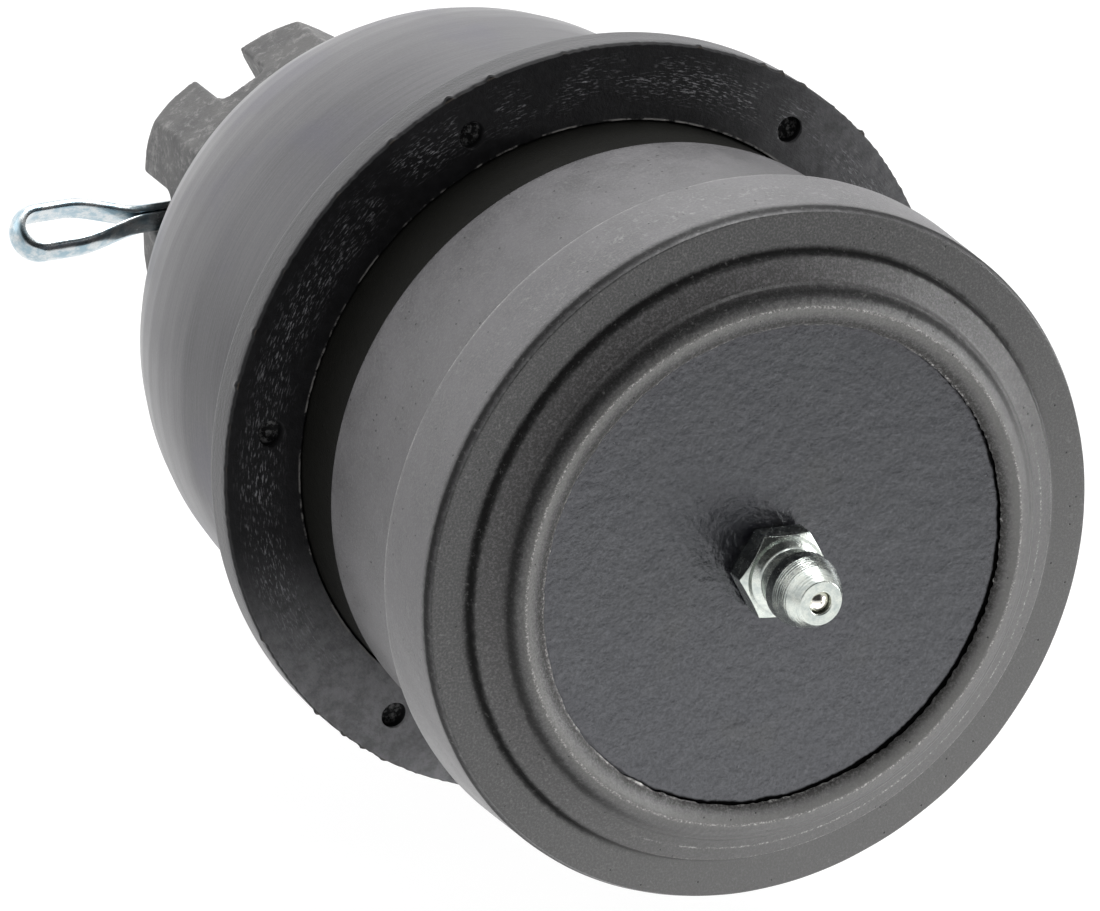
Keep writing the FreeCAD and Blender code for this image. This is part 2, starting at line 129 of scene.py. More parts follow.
def turned(name, outline, segments, change=None, start=0.0):
    """Turned piece: a closed outline of (radius, y) in mm carried round the stud's axis."""
    angle = start + 2 * np.pi * np.arange(segments)[:, None] / segments
    radius = np.repeat(outline[None, :, 0], segments, 0)
    height = np.repeat(outline[None, :, 1], segments, 0)
    if change:
        radius, height = change(angle, radius, height)
    verts = np.stack([radius * np.cos(angle), height, radius * np.sin(angle)], -1).reshape(-1, 3)
    count = len(outline)
    ring = np.arange(segments)[:, None] * count
    row = np.arange(count)[None, :]
    next_ring = np.roll(ring, -1, 0)
    next_row = np.roll(row, -1, 1)
    quads = np.stack([ring + row, ring + next_row, next_ring + next_row, next_ring + row], -1)
    return shown(name, verts, quads.reshape(-1, 4).tolist())


def wander(angle, low, high, seed):
    """Smooth random wave round the axis, about -1 to 1, with low to high waves in a turn."""
    chance = np.random.default_rng(seed)
    total = np.zeros_like(angle)
    for waves in range(low, high + 1):
        total = total + np.cos(waves * angle + chance.uniform(0, 2 * np.pi)) * chance.uniform(0.4, 1)
    return total / math.sqrt(0.27 * (high - low + 1)) / 2


def bell(value, centre, width):
    """1 at the centre, falling smoothly to 0 at the width on both sides."""
    return np.clip(1 - ((value - centre) / width) ** 2, 0, 1) ** 2


class Finish:
    """A finish as it is mixed: the node tree, the shader, and the rest position in mm."""

    def __init__(self, name, from_mesh=True):
        self.material = bpy.data.materials.new(name)
        self.material.use_nodes = True
        self.tree = self.material.node_tree
        self.shader = self.tree.nodes["Principled BSDF"]
        if from_mesh:
            place = self.add("ShaderNodeAttribute")
            place.attribute_name = "rest_mm"
            self.place = place.outputs["Vector"]
        else:
            place = self.add("ShaderNodeTexCoord")
            scale = self.add("ShaderNodeVectorMath", operation="SCALE")
            self.tree.links.new(place.outputs["Object"], scale.inputs[0])
            scale.inputs["Scale"].default_value = 1 / MM
            self.place = scale.outputs[0]
        parts = self.add("ShaderNodeSeparateXYZ")
        self.tree.links.new(self.place, parts.inputs[0])
        self.x, self.y, self.z = parts.outputs
        across = self.both(self.x, self.x)
        across = self.sum("ADD", across, self.both(self.z, self.z))
        self.radius = self.sum("SQRT", across)

    def add(self, kind, **settings):
        node = self.tree.nodes.new(kind)
        for key, value in settings.items():
            setattr(node, key, value)
        return node

    def plug(self, socket, value):
        if isinstance(value, bpy.types.NodeSocket):
            self.tree.links.new(value, socket)
        elif isinstance(value, tuple):
            socket.default_value = (*value, 1.0)[:len(socket.default_value)]
        else:
            socket.default_value = value

    def sum(self, operation, *values):
        node = self.add("ShaderNodeMath", operation=operation)
        for socket, value in zip(node.inputs, values):
            self.plug(socket, value)
        return node.outputs[0]

    def both(self, first, second):
        """1 only where both masks are 1."""
        return self.sum("MULTIPLY", first, second)

    def either(self, first, second):
        """The stronger of two masks."""
        return self.sum("MAXIMUM", first, second)

    def noise(self, size, detail=2.0, roughness=0.5, place=None, distortion=0.0):
        """Noise with spots of about this size in mm."""
        node = self.add("ShaderNodeTexNoise")
        self.plug(node.inputs["Vector"], place or self.place)
        self.plug(node.inputs["Scale"], 1 / size)
        self.plug(node.inputs["Detail"], detail)
        self.plug(node.inputs["Roughness"], roughness)
        self.plug(node.inputs["Distortion"], distortion)
        return node.outputs["Fac"]

    def pits(self, spacing, size):
        """1 in small round pits, spread at random about this far apart, 0 elsewhere."""
        node = self.add("ShaderNodeTexVoronoi")
        self.plug(node.inputs["Vector"], self.place)
        self.plug(node.inputs["Scale"], 1 / spacing)
        return self.fade(node.outputs["Distance"], size / spacing, size / spacing / 2)

    def fade(self, value, low, high, to_low=0.0, to_high=1.0):
        """A smooth change, from to_low at low to to_high at high."""
        node = self.add("ShaderNodeMapRange", interpolation_type="SMOOTHSTEP")
        for name, number in (("Value", value), ("From Min", low), ("From Max", high),
                             ("To Min", to_low), ("To Max", to_high)):
            self.plug(node.inputs[name], number)
        return node.outputs["Result"]

    def line(self, value, centre, width):
        """1 along a thin line where value is centre, 0 beyond the width."""
        return self.fade(self.sum("ABSOLUTE", self.sum("SUBTRACT", value, centre)), width, 0.0)

    def turning(self, length, depth):
        """Streaks that run round the stud's axis, of about this length and spacing in mm."""
        node = self.add("ShaderNodeCombineXYZ")
        ratio = 28.0 / length
        self.plug(node.inputs[0], self.both(self.sum("DIVIDE", self.x, self.radius), ratio))
        self.plug(node.inputs[2], self.both(self.sum("DIVIDE", self.z, self.radius), ratio))
        across = self.sum("ADD", self.y, self.radius)
        self.plug(node.inputs[1], self.sum("DIVIDE", across, depth))
        return self.noise(1.0, 3.0, 0.6, place=node.outputs[0])

    def colour(self, factor, first, second):
        node = self.add("ShaderNodeMix", data_type="RGBA")
        self.plug(node.inputs[0], factor)
        self.plug(node.inputs[6], first)
        self.plug(node.inputs[7], second)
        return node.outputs[2]

    def raise_by(self, height, distance, strength=1.0):
        """Adds a bump of this height in mm where height is 1."""
        node = self.add("ShaderNodeBump")
        self.plug(node.inputs["Height"], height)
        self.plug(node.inputs["Distance"], distance * MM)
        self.plug(node.inputs["Strength"], strength)
        normal = self.shader.inputs["Normal"]
        if normal.is_linked:
            self.tree.links.new(normal.links[0].from_socket, node.inputs["Normal"])
        self.tree.links.new(node.outputs[0], normal)

    def set(self, **values):
        names = {"base": "Base Color", "rough": "Roughness", "metal": "Metallic",
                 "specular": "Specular IOR Level", "ior": "IOR", "tint": "Specular Tint"}
        for key, value in values.items():
            self.plug(self.shader.inputs[names[key]], value)

    def cover(self, piece):
        piece.data.materials.clear()
        piece.data.materials.append(self.material)


LIP_EDGE_R = 20.45
LOWER_RIGHT = math.radians(-35)
MOUTH_R = 22.32
BORE_R = 20.6
SHELF_R = 26.34
HEAD_FACE_Y = -23.8
HEAD_BACK_Y = -15.8
GROOVE_R = 24.7
SOCKET_R = 15.2
CREST_R = 22.26
FLANK_R = 23.1
HEAD_R = 29.75
BODY_R = 27.1
BODY_END_Y = 0.6
PILOT_R = 26.45
PILOT_END_Y = 9.9

housing_outline = rounded([
    (MOUTH_R, -25.40, 0.0),
    (20.90, -25.44, 0.05),
    (LIP_EDGE_R, -25.62, 0.08),
    (20.75, -25.86, 0.30),
    (CREST_R, -26.30, 0.55),
    (FLANK_R, -25.98, 0.60),
    (23.65, -25.42, 0.10),
    (23.85, -25.34, 0.08),
    (24.10, -25.02, 0.30),
    (25.0, -24.72, 0.40),
    (26.02, -24.42, 0.20),
    (SHELF_R, HEAD_FACE_Y, 0.22),
    (HEAD_R - 0.32, HEAD_FACE_Y, 0.12),
    (HEAD_R, -23.0, 0.16),
    (29.96, -16.1, 0.0),
    (29.9, HEAD_BACK_Y, 0.28),
    (BODY_R, HEAD_BACK_Y, 0.8),
    (BODY_R, BODY_END_Y, 0.10),
    (PILOT_R, BODY_END_Y + 0.65, 0.15),
    (PILOT_R, PILOT_END_Y, 0.1),
    (GROOVE_R, PILOT_END_Y, 0.0),
    (GROOVE_R, 10.8, 0.1),
    (24.0, 11.1, 0.1),
    (24.0, 12.4, 0.1),
    (GROOVE_R, 12.7, 0.1),
    (24.4, 13.5, 0.1),
    (22.4, 15.6, 0.3),
    (20.6, 15.6, 0.4),
    (16.6, 12.4, 1.5),
    (SOCKET_R, 10.4, 0.5),
    (SOCKET_R, 8.65, 0.0),
    (17.65, 8.65, 0.0),
    (BORE_R, 4.05, 0.0),
    (BORE_R, -22.4, 0.0),
    (MOUTH_R, -22.4, 0.0),
], 0.28)


def rolled_lip(angle, radius, height):
    """Tears the lip's inner edge, breaks its crest and wrinkles its flank, as rolling does."""
    front = bell(height, -25.9, 1.0)
    past = np.mod(angle - LOWER_RIGHT, 2 * np.pi) - np.pi
    lower_right = bell(past, -np.pi, 2.2) + bell(past, np.pi, 2.2)
    torn = 0.10 * wander(angle, 2, 9, 1) + 0.07 * wander(angle, 20, 60, 2)
    ragged = 0.045 * wander(angle, 70, 190, 3)
    edge = bell(radius, LIP_EDGE_R, 1.1) * front
    radius = radius + edge * (torn + 0.30 * lower_right + ragged * (0.4 + 1.6 * lower_right))
    crest = bell(radius, CREST_R, 0.9) * front
    height = height + crest * (0.030 * wander(angle, 3, 14, 4) + 0.014 * wander(angle, 60, 200, 5))
    flank = bell(radius, FLANK_R, 0.7) * bell(height, -25.7, 0.7)
    height = height + flank * 0.022 * wander(angle + 0.02 * radius, 120, 260, 6)
    skin = (height < -15) & (radius > 26.5)
    radius = radius + skin * 0.012 * wander(angle + 0.05 * height, 8, 40, 7)
    return radius, height


housing = turned("forged_housing", housing_outline, 960, rolled_lip)
blacked = Finish("blacked_forging")
worn = blacked.noise(3.5, 5.0, 0.6)
grainy = blacked.noise(0.20, 4.0, 0.7)
ragged_by = blacked.sum("SUBTRACT", blacked.noise(0.6, 4.0, 0.7), 0.5)
uneven_r = blacked.sum("MULTIPLY_ADD", ragged_by, 0.5, blacked.radius)
uneven_y = blacked.sum("MULTIPLY_ADD", ragged_by, 0.6, blacked.y)
skin_colour = blacked.colour(blacked.fade(worn, 0.3, 0.7), (0.046, 0.0445, 0.048),
                             (0.080, 0.077, 0.083))
# Painted shading: lit runs from the upper left to the lower right, where the low lamp falls. The head's
# front face is coloured darker at the upper left and lighter at the lower right.
lit = blacked.fade(blacked.sum("DIVIDE", blacked.sum("SUBTRACT", blacked.x, blacked.z), blacked.radius),
                   -0.9, 1.3)
unlit = blacked.sum("SUBTRACT", 1.0, lit)
front_shading = blacked.colour(lit, (0.023, 0.023, 0.023), (0.072, 0.071, 0.070))
front = blacked.fade(blacked.y, -23.55, -23.75)
skin_colour = blacked.colour(front, skin_colour, front_shading)
# Painted shade: the front is coloured darker towards the lip's inner edge, in the crease against the
# cover.
near_edge = blacked.both(blacked.fade(uneven_r, 21.7, 20.8), front)
skin_colour = blacked.colour(near_edge, skin_colour, (0.030, 0.029, 0.028))
# Painted shade: the shelf inside the head's front face is coloured darker on the side away from the low
# lamp.
shelf = blacked.both(blacked.line(uneven_r, 24.6, 2.1), blacked.both(front, unlit))
skin_colour = blacked.colour(shelf, skin_colour, (0.017, 0.0155, 0.016))
skin_colour = blacked.colour(blacked.fade(grainy, 0.42, 0.72, 0.0, 0.7), skin_colour,
                             (0.120, 0.118, 0.119))
inner_slope = blacked.both(blacked.line(uneven_r, CREST_R - 0.15, 0.95),
                           blacked.fade(blacked.y, -25.45, -26.1))
inner_slope = blacked.both(inner_slope, blacked.fade(grainy, 0.25, 0.65, 0.45, 1.0))
# Painted shading: the lighter band on the lip's inner slope is coloured lighter on the side away from
# the low lamp and darker where it falls.
slope_tone = blacked.colour(lit, (0.120, 0.118, 0.113), (0.105, 0.103, 0.099))
skin_colour = blacked.colour(inner_slope, skin_colour, slope_tone)
# Painted shade and grime: the step and flank grooves are coloured near black, only on the side away
# from the low lamp.
step_band = blacked.both(blacked.line(uneven_r, 26.25, 0.60), front)
flank_band = blacked.both(blacked.line(uneven_r, 23.45, 0.75), front)
# Painted reflection: the band round the head's front bevel is coloured dark for the dark surroundings
# it mirrors.
bevel = blacked.both(blacked.line(uneven_y, -23.20, 0.95),
                     blacked.fade(blacked.radius, 29.34, 29.44))
shade_and_grime = blacked.either(step_band, blacked.both(flank_band, 0.8))
shade_and_grime = blacked.both(shade_and_grime, blacked.fade(unlit, 0.05, 0.6))
shade_and_grime = blacked.either(shade_and_grime, blacked.both(bevel, 0.9))
skin_colour = blacked.colour(shade_and_grime, skin_colour, (0.008, 0.008, 0.008))
# Painted shade: the seat behind the body is coloured near black for the boot flange's shadow and
# reflection.
seat = blacked.fade(uneven_y, BODY_END_Y + 0.1, BODY_END_Y + 0.4)
skin_colour = blacked.colour(seat, skin_colour, (0.0095, 0.0095, 0.0085))
holes = blacked.pits(1.25, 0.11)
skin_colour = blacked.colour(holes, skin_colour, (0.012, 0.012, 0.012))
scuff = blacked.fade(blacked.noise(0.5, 4.0, 0.7), 0.58, 0.72)
sparkle = blacked.fade(blacked.noise(0.19, 4.0, 0.78), 0.49, 0.62)
crest_line = blacked.both(blacked.line(blacked.radius, CREST_R + 0.02, 0.20),
                          blacked.fade(blacked.y, -26.0, -26.15))
edge_line = blacked.both(blacked.line(uneven_r, LIP_EDGE_R + 0.14, 0.22),
                         blacked.fade(blacked.y, -25.5, -25.6))
# Painted highlights: two bright lines on the front steps, only on the side the low lamp lights.
highlight_lines = blacked.either(blacked.line(blacked.radius, 26.05, 0.16),
                             blacked.line(blacked.radius, 24.85, 0.14))
highlight_lines = blacked.both(highlight_lines, blacked.both(front, blacked.fade(lit, 0.62, 0.95)))
bare_and_highlights = blacked.either(blacked.either(crest_line, edge_line), highlight_lines)
bare_and_highlights = blacked.both(bare_and_highlights, sparkle)
# Painted highlight: light bits along the torn edge, only on its lower side, towards the low lamp.
torn_edge_highlight = blacked.both(edge_line, blacked.fade(blacked.noise(0.7, 5.0, 0.75), 0.50, 0.58))
torn_edge_highlight = blacked.both(torn_edge_highlight, blacked.fade(blacked.z, -12.0, -18.0))
bare_and_highlights = blacked.either(bare_and_highlights, torn_edge_highlight)
back_edge = blacked.both(blacked.line(blacked.y, -16.0, 0.24), blacked.fade(worn, 0.36, 0.56))
back_edge = blacked.both(back_edge, blacked.fade(sparkle, 0.0, 1.0, 0.25, 0.8))
bare_and_highlights = blacked.either(bare_and_highlights, back_edge)
# Bare worn metal on the crest, torn edge and back edge, and the painted highlights, in one light
# colour.
skin_colour = blacked.colour(bare_and_highlights, skin_colour, (0.42, 0.41, 0.40))
skin_colour = blacked.colour(blacked.both(scuff, blacked.sum("SUBTRACT", 0.4, seat)),
                             skin_colour, (0.17, 0.168, 0.165))
# Painted light: lighter patches on the head's upper side, where the light from above falls.
upper = blacked.both(blacked.fade(blacked.z, 12.0, 28.0),
                     blacked.fade(blacked.noise(0.8, 6.0, 0.75), 0.54, 0.68))
upper = blacked.both(upper, blacked.line(blacked.y, -19.8, 4.6))
skin_colour = blacked.colour(blacked.both(upper, 0.55), skin_colour, (0.24, 0.238, 0.235))
dull = blacked.either(blacked.either(seat, shade_and_grime), blacked.both(near_edge, 0.7))
blacked.set(base=skin_colour, rough=blacked.fade(worn, 0.2, 0.8, 0.38, 0.48), ior=1.55,
            specular=blacked.fade(dull, 0.0, 1.0, 0.55, 0.07), metal=blacked.both(bare_and_highlights, 0.7))
blacked.raise_by(blacked.turning(30.0, 0.16), 0.005)
blacked.raise_by(grainy, 0.032, 0.9)
blacked.raise_by(blacked.noise(0.9, 4.0, 0.6), 0.036, 0.9)
blacked.raise_by(holes, -0.08)
blacked.cover(housing)
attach(housing, "housing")
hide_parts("housing")


# Cover plate: a flat disc punched from steel sheet and painted black, slightly orange-peeled.
# It drops into the housing's mouth before the lip is rolled over its rim.
PLATE_FACE_Y = -25.4
PLATE_BACK_Y = PLATE_FACE_Y + 3.0
PLATE_R = 22.3
SHANK_R = 3.05

plate_outline = rounded([
    (SHANK_R, PLATE_FACE_Y, 0.12),
    (PLATE_R, PLATE_FACE_Y, 0.4),
    (PLATE_R, PLATE_BACK_Y, 0.1),
    (SHANK_R, PLATE_BACK_Y, 0.1),
], 0.5)


def flattened(angle, radius, height):
    """A few hundredths of a millimetre of unevenness in the punched disc."""
    uneven = 0.010 * wander(angle + 0.15 * radius, 2, 7, 11)
    return radius, height + uneven * (height < -25) * bell(radius, 12, 9.5)


plate = turned("punched_cover", plate_outline, 360, flattened)
painted = Finish("black_paint")
cloud = painted.noise(5.0, 4.0, 0.6)
fleck = painted.noise(0.45, 3.0, 0.6)
plate_colour = painted.colour(painted.fade(cloud, 0.35, 0.65), (0.0075, 0.0075, 0.0105),
                              (0.011, 0.011, 0.0135))
plate_colour = painted.colour(painted.fade(painted.noise(7.0, 3.0), 0.58, 0.72, 0.0, 0.5),
                              plate_colour, (0.015, 0.014, 0.011))
plate_colour = painted.colour(painted.fade(fleck, 0.50, 0.80, 0.0, 0.6), plate_colour,
                              (0.022, 0.022, 0.025))
craters = painted.pits(3.0, 0.12)
peel = painted.noise(0.28, 5.0, 0.72, distortion=0.4)
around = painted.sum("DIVIDE", painted.sum("SUBTRACT", painted.x, painted.z), painted.radius)
torn_r = painted.sum("MULTIPLY_ADD", painted.sum("SUBTRACT", painted.noise(1.8, 5.0, 0.65), 0.5), 0.6,
                     painted.radius)
# Painted shadow: a near-black ring on the cover under the lip's torn edge, towards the lower right,
# with its gloss taken away.
gap_shadow = painted.both(painted.fade(torn_r, 20.34, 20.56), painted.fade(around, -0.5, 0.7))
plate_colour = painted.colour(gap_shadow, plate_colour, (0.002, 0.002, 0.002))
gloss = painted.both(painted.fade(peel, 0.30, 0.70, 0.38, 0.58), painted.sum("SUBTRACT", 1.0, gap_shadow))
painted.set(base=plate_colour, rough=painted.fade(cloud, 0.3, 0.7, 0.17, 0.23), ior=1.76,
            specular=gloss, tint=(0.93, 0.95, 1.0))
painted.raise_by(painted.noise(1.3, 3.0, 0.6), 0.16, 0.9)
painted.raise_by(painted.noise(0.40, 4.0, 0.7), 0.055, 0.9)
painted.raise_by(craters, -0.06)
painted.cover(plate)
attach(plate, "housing")
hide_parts("cover_plate")


# Parts sealed inside: two bearing halves of natural polymer, a pressed washer, a coned disc spring
# and the boot's two steel rings. They keep their turned shapes and get a greased finish.
def greased(name, base, roughness, metal):
    """A finish for a CAD node: this base colour, darker and glossier where grease has smeared."""
    finish = Finish(name, from_mesh=False)
    smear = finish.noise(2.5, 4.0, 0.6)
    dark = tuple(0.55 * c for c in base)
    finish.set(base=finish.colour(finish.fade(smear, 0.3, 0.75), base, dark), metal=metal,
               rough=finish.fade(smear, 0.3, 0.7, roughness, roughness * 0.6))
    finish.raise_by(finish.turning(20.0, 0.2), 0.006)
    return finish


polymer = greased("greased_polymer", (0.58, 0.54, 0.42), 0.5, 0.0)
pressed = greased("greased_steel", (0.42, 0.42, 0.43), 0.4, 1.0)
sprung = greased("spring_steel", (0.30, 0.31, 0.34), 0.35, 1.0)
for node, finish in (("upper_bearing", polymer), ("lower_bearing", polymer),
                     ("pressure_plate", pressed), ("preload_spring", sprung),
                     ("boot_base_ring", pressed), ("boot_top_ring", pressed)):
    finish.cover(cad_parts[node])


# Ball stud: forged alloy steel, its ball and 1 in 8 taper ground, its end threaded 1.5 mm pitch.
# The split pin's hole crosses the thread near the end.
THREAD_PITCH = 1.5
THREAD_CREST_R = 8.93
THREAD_ROOT_R = 8.05
THREAD_START_Y = 50.0
STUD_END_Y = 72.0
PIN_Y = 68.0
PIN_HOLE_R = 2.0
PIN_TURN = math.radians(4.6)

BALL_R = 16.0
BALL_FLAT_R = 5.57
BALL_NECK_R = 9.7
NECK_R = 8.8

ball_turns = np.radians(np.linspace(-90 + math.degrees(math.asin(BALL_FLAT_R / BALL_R)),
                                    90 - math.degrees(math.asin(BALL_NECK_R / BALL_R)), 60))
stud_outline = rounded([(0.0, -15.0, 0.0)] + [
    (BALL_R * math.cos(a), BALL_R * math.sin(a), 0.0) for a in ball_turns
] + [
    (NECK_R, 14.6, 2.0),
    (NECK_R, 19.0, 3.0),
    (11.2, 22.5, 1.2),
    (9.55, 48.9, 0.2),
    (THREAD_CREST_R, 49.7, 0.2),
    (THREAD_CREST_R, STUD_END_Y - 1.2, 0.1),
    (7.7, STUD_END_Y, 0.2),
    (1.7, STUD_END_Y, 0.15),
    (0.0, STUD_END_Y - 1.6, 0.0),
], 0.16)


def threaded(angle, radius, height):
    """Cuts a right-hand thread with rounded roots into the free end."""
    phase = np.mod(height / THREAD_PITCH + angle / (2 * np.pi), 1)
    groove = np.clip((np.abs(2 * phase - 1) - 0.12) / 0.78, 0, 1)
    cut = THREAD_ROOT_R + (THREAD_CREST_R - THREAD_ROOT_R) * groove ** 0.9
    run_in = np.clip((height - THREAD_START_Y) / 1.5, 0, 1)
    cut = THREAD_CREST_R + (cut - THREAD_CREST_R) * run_in
    on_thread = (height > THREAD_START_Y) & (radius > 7)
    return np.where(on_thread, np.minimum(radius, cut), radius), height


def settled(piece):
    """Applies the piece's modifiers to its mesh."""
    bpy.context.view_layer.update()
    ready = piece.evaluated_get(bpy.context.evaluated_depsgraph_get())
    mesh = bpy.data.meshes.new_from_object(ready)
    piece.modifiers.clear()
    piece.data = mesh
    return piece


def cut_by(piece, tool):
    """Takes the tool's solid out of the piece."""
    cut = piece.modifiers.new("cut", "BOOLEAN")
    cut.operation = "DIFFERENCE"
    cut.solver = "EXACT"
    cut.object = tool
    settled(piece)
    bpy.data.objects.remove(tool)
    return piece


def rod(name, radius, half, sides=48):
    """Closed round rod along X, centred on the origin, in mm."""
    angle = 2 * np.pi * np.arange(sides) / sides
    ring = np.stack([np.zeros(sides), radius * np.cos(angle), radius * np.sin(angle)], -1)
    verts = np.concatenate([ring + [-half, 0, 0], ring + [half, 0, 0]])
    faces = [[k, (k + 1) % sides, sides + (k + 1) % sides, sides + k] for k in range(sides)]
    faces += [list(range(sides))[::-1], list(range(sides, 2 * sides))]
    return shown(name, verts, faces)


stud = turned("forged_ball_stud", stud_outline, 192, threaded)
drill = rod("stud_drill", PIN_HOLE_R, 12)
drill.matrix_world = Matrix.Translation((0, PIN_Y * MM, 0)) @ Matrix.Rotation(-PIN_TURN, 4, "Y")
dressed(cut_by(stud, drill))
ground = Finish("ground_alloy_steel")
oily = ground.noise(1.5, 4.0, 0.6)
steel = ground.colour(ground.fade(oily, 0.3, 0.7), (0.26, 0.26, 0.27), (0.40, 0.40, 0.41))
threads = ground.fade(ground.y, THREAD_START_Y - 1.2, THREAD_START_Y)
steel = ground.colour(threads, steel, ground.colour(ground.fade(oily, 0.4, 0.6), (0.10, 0.10, 0.105),
                                                    (0.19, 0.185, 0.18)))
ground.set(base=steel, metal=0.85, rough=ground.fade(oily, 0.3, 0.7, 0.30, 0.45))
ground.raise_by(ground.turning(25.0, 0.12), 0.004)
ground.raise_by(ground.noise(0.3, 3.0), 0.010)
ground.cover(stud)
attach(stud, "stud")
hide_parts("ball_stud")


# Dust boot: one black rubber moulding. Its flange is stiffened by a moulded-in steel ring, whose
# six locating pins leave round dimples, and grips the housing. The dome is not attached to either body.
FLANGE_R = 33.2
FLANGE_FACE_Y = 8.1
FLANGE_BORE_R = 26.62
FLANGE_BORE_Y = 7.7
FLANGE_SEAT_R = 24.8
FLANGE_BACK_Y = 12.2
DIMPLE_CIRCLE_R = 29.4
DIMPLE_R = 1.15
DIMPLE_TURN = 56.7
DOME_FOOT_R = 27.2
DOME_TOP_Y = 49.0
DOME_TOP_R = 11.0
DOME_LEAN = -1.05

flange_outline = rounded([
    (FLANGE_BORE_R, FLANGE_BORE_Y, 0.06),
    (FLANGE_R - 0.12, FLANGE_FACE_Y, 0.10),
    (FLANGE_R, FLANGE_FACE_Y + 0.3, 0.10),
    (FLANGE_R - 0.1, FLANGE_BACK_Y - 0.9, 0.5),
    (FLANGE_R - 0.75, FLANGE_BACK_Y, 0.4),
    (DOME_FOOT_R + 1.35, FLANGE_BACK_Y + 0.25, 0.3),
    (DOME_FOOT_R - 0.3, FLANGE_BACK_Y + 1.2, 0.3),
    (FLANGE_SEAT_R, 12.75, 0.0),
    (24.1, 12.4, 0.0),
    (24.1, 11.2, 0.0),
    (FLANGE_SEAT_R, 10.85, 0.0),
    (FLANGE_SEAT_R, 10.0, 0.0),
    (FLANGE_BORE_R, 10.0, 0.0),
], 0.25)


def trimmed(angle, radius, height):
    """Ragged mould flash at the flange's outer and inner front edges."""
    front = bell(height, FLANGE_FACE_Y, 0.9)
    rim = bell(radius, FLANGE_R, 0.5) * front
    bore = bell(radius, FLANGE_BORE_R, 0.3) * bell(height, FLANGE_BORE_Y, 0.5)
    teeth = np.maximum(wander(angle, 30, 130, 24) - 0.45, 0)
    radius = radius + rim * (0.05 * wander(angle, 90, 300, 21) + 0.04 * wander(angle, 5, 20, 22)
                             + 0.5 * teeth - 0.09)
    square = FLANGE_R / np.maximum(np.abs(np.cos(angle)), np.abs(np.sin(angle)))
    radius = np.minimum(radius, square - 0.01)
    height = height + bore * 0.05 * wander(angle, 60, 200, 23)
    return radius, height


def dimple_tool():
    """Six round-nosed pins, as one solid, at the flange's dimples."""
    profile = [(0.0, 6.5), (DIMPLE_R, 6.5), (DIMPLE_R, 8.85), (DIMPLE_R - 0.12, 9.05), (0.0, 9.1)]
    sides = 40
    verts = []
    faces = []
    for k in range(6):
        turn = math.radians(DIMPLE_TURN + 60 * k)
        centre = (DIMPLE_CIRCLE_R * math.cos(turn), DIMPLE_CIRCLE_R * math.sin(turn))
        first = len(verts)
        for radius, y in profile:
            for i in range(sides):
                a = 2 * math.pi * i / sides
                verts.append((centre[0] + radius * math.cos(a), y, centre[1] + radius * math.sin(a)))
        for row in range(len(profile) - 1):
            for i in range(sides):
                a = first + row * sides + i
                b = first + row * sides + (i + 1) % sides
                faces.append([a, b, b + sides, a + sides])
    return shown("dimple_pins", verts, faces)


flange = turned("boot_flange", flange_outline, 900, trimmed)
dressed(cut_by(flange, dimple_tool()))

dome_outline = rounded([
    (24.95, 13.1, 0.0),
    (DOME_FOOT_R - 0.35, 13.0, 0.15),
    (DOME_FOOT_R - 0.05, 14.6, 3.0),
    (27.75, 22.0, 60.0),
    (27.95, 29.0, 60.0),
    (27.6, 34.6, 30.0),
    (26.25, 39.6, 26.0),
    (23.9, 43.9, 18.0),
    (20.9, 47.0, 10.0),
    (16.6, 48.75, 6.0),
    (15.4, DOME_TOP_Y, 0.3),
    (DOME_TOP_R, DOME_TOP_Y, 0.2),
    (DOME_TOP_R, 45.2, 0.0),
    (14.6, 45.2, 1.0),
    (19.0, 44.5, 6.0),
    (22.2, 41.9, 10.0),
    (24.6, 37.9, 18.0),
    (25.6, 32.5, 30.0),
    (25.75, 27.0, 60.0),
    (25.5, 20.0, 30.0),
    (25.1, 15.0, 0.5),
], 0.45)


def leaning(angle, radius, height):
    """The dome bulges a little to one side, as soft rubber does, but not at its foot or top lip."""
    above_foot = np.clip((height - 13) / 14, 0, 1) ** 1.3
    below_top = np.clip((DOME_TOP_Y - height) / 4.5, 0, 1)
    lean = DOME_LEAN * above_foot * below_top
    wavy = 0.03 * wander(angle + 0.03 * height, 3, 9, 31) * np.clip((height - 14) / 5, 0, 1)
    return radius + lean * np.cos(angle) + wavy, height


dome = turned("boot_dome", dome_outline, 480, leaning)

rubber = Finish("flange_rubber")
scuffs = rubber.turning(0.6, 0.15)
low_left = rubber.both(rubber.line(rubber.z, -12.0, 12.0), rubber.fade(rubber.x, -6.0, -16.0))
zone = rubber.either(rubber.fade(rubber.noise(4.5, 4.0, 0.6), 0.38, 0.58), low_left)
zone = rubber.both(zone, rubber.line(rubber.radius, 30.2, 2.7))
rubbed = rubber.both(rubber.fade(scuffs, 0.52, 0.70), zone)
front = rubber.fade(rubber.y, FLANGE_FACE_Y + 0.12, FLANGE_FACE_Y - 0.02)
rubbed = rubber.both(rubbed, front)
rubber_colour = rubber.colour(rubber.fade(rubber.noise(0.8, 3.0), 0.3, 0.7), (0.0042, 0.0042, 0.0050),
                              (0.0075, 0.0075, 0.0085))
bloom = rubber.either(rubber.fade(rubber.z, -7.0, -27.0),
                      rubber.fade(rubber.x, 6.0, 30.0, 0.0, 0.5))
bloom = rubber.both(bloom, rubber.fade(rubber.noise(1.4, 6.0, 0.75), 0.34, 0.64, 0.55, 0.95))
rubber_colour = rubber.colour(rubber.both(bloom, front), rubber_colour, (0.27, 0.27, 0.28))
rubber_colour = rubber.colour(rubbed, rubber_colour, (0.20, 0.20, 0.21))
pin_seat = rubber.both(rubber.fade(rubber.y, FLANGE_FACE_Y + 0.6, FLANGE_FACE_Y + 0.95),
                       rubber.line(rubber.radius, DIMPLE_CIRCLE_R, 2.0))
